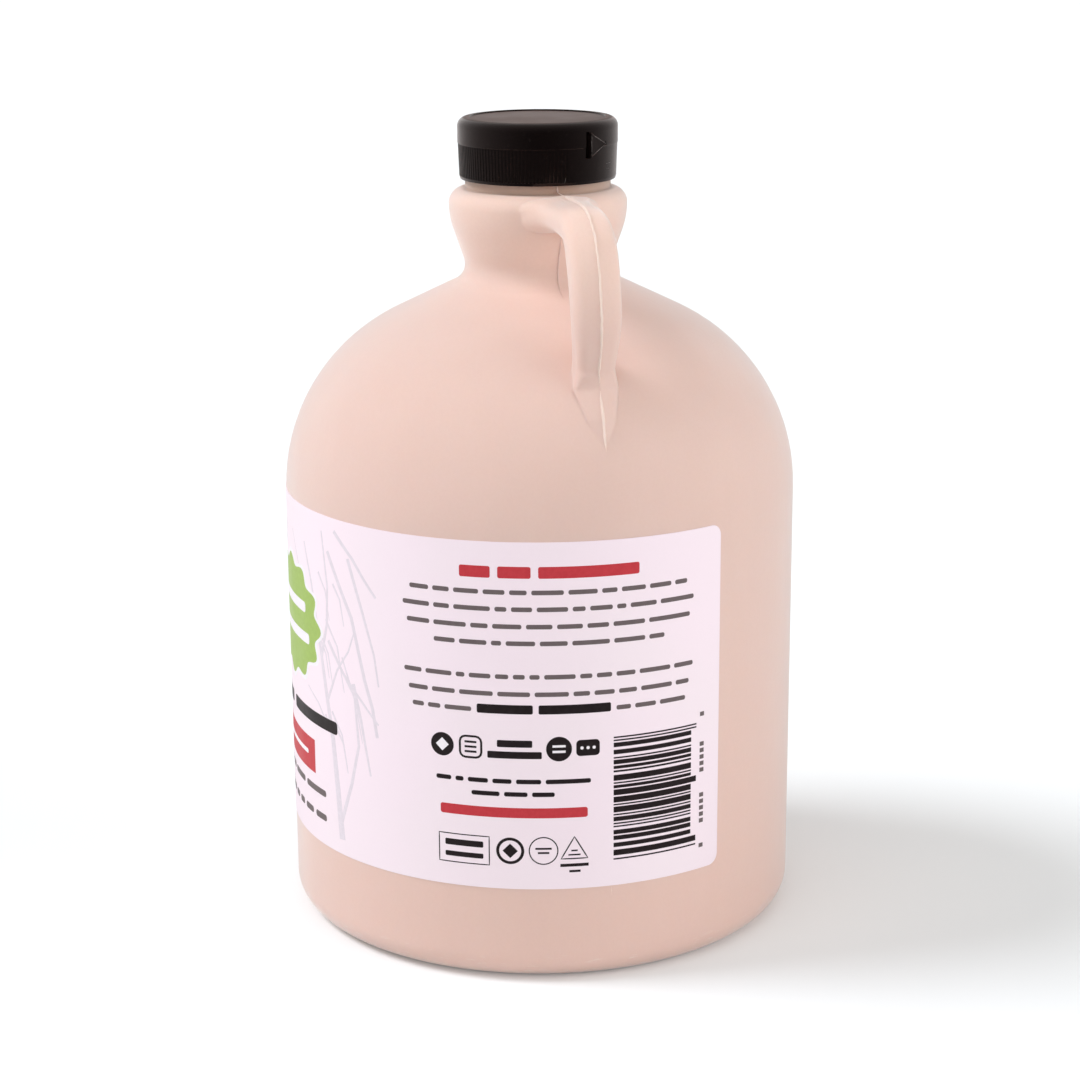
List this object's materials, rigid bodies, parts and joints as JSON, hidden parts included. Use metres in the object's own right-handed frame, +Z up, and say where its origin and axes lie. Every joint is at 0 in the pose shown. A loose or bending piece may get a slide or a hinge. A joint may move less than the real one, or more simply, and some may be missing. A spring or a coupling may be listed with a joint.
{
  "type": "syrup jug",
  "caption": "Round blow-moulded plastic jug for maple syrup, with a loop handle at the neck, a ribbed screw cap and a wrap-round label",
  "frame": {"origin": "centre of the base, on the surface that the jug stands on", "axes": "+Z up along the jug's axis, +X towards the handle, -Y towards the middle of the label's front panel"},
  "size_m": [0.1324, 0.1322, 0.2067],
  "materials": {
    "jug": "satin beige polyethylene, slightly translucent",
    "cap": "glossy near-black brown polypropylene",
    "label": "smooth pale film label with plain printed shapes"
  },
  "bodies": {
    "root": {"jug": "jug", "cap": "cap", "label": "label"}
  },
  "joints": []
}
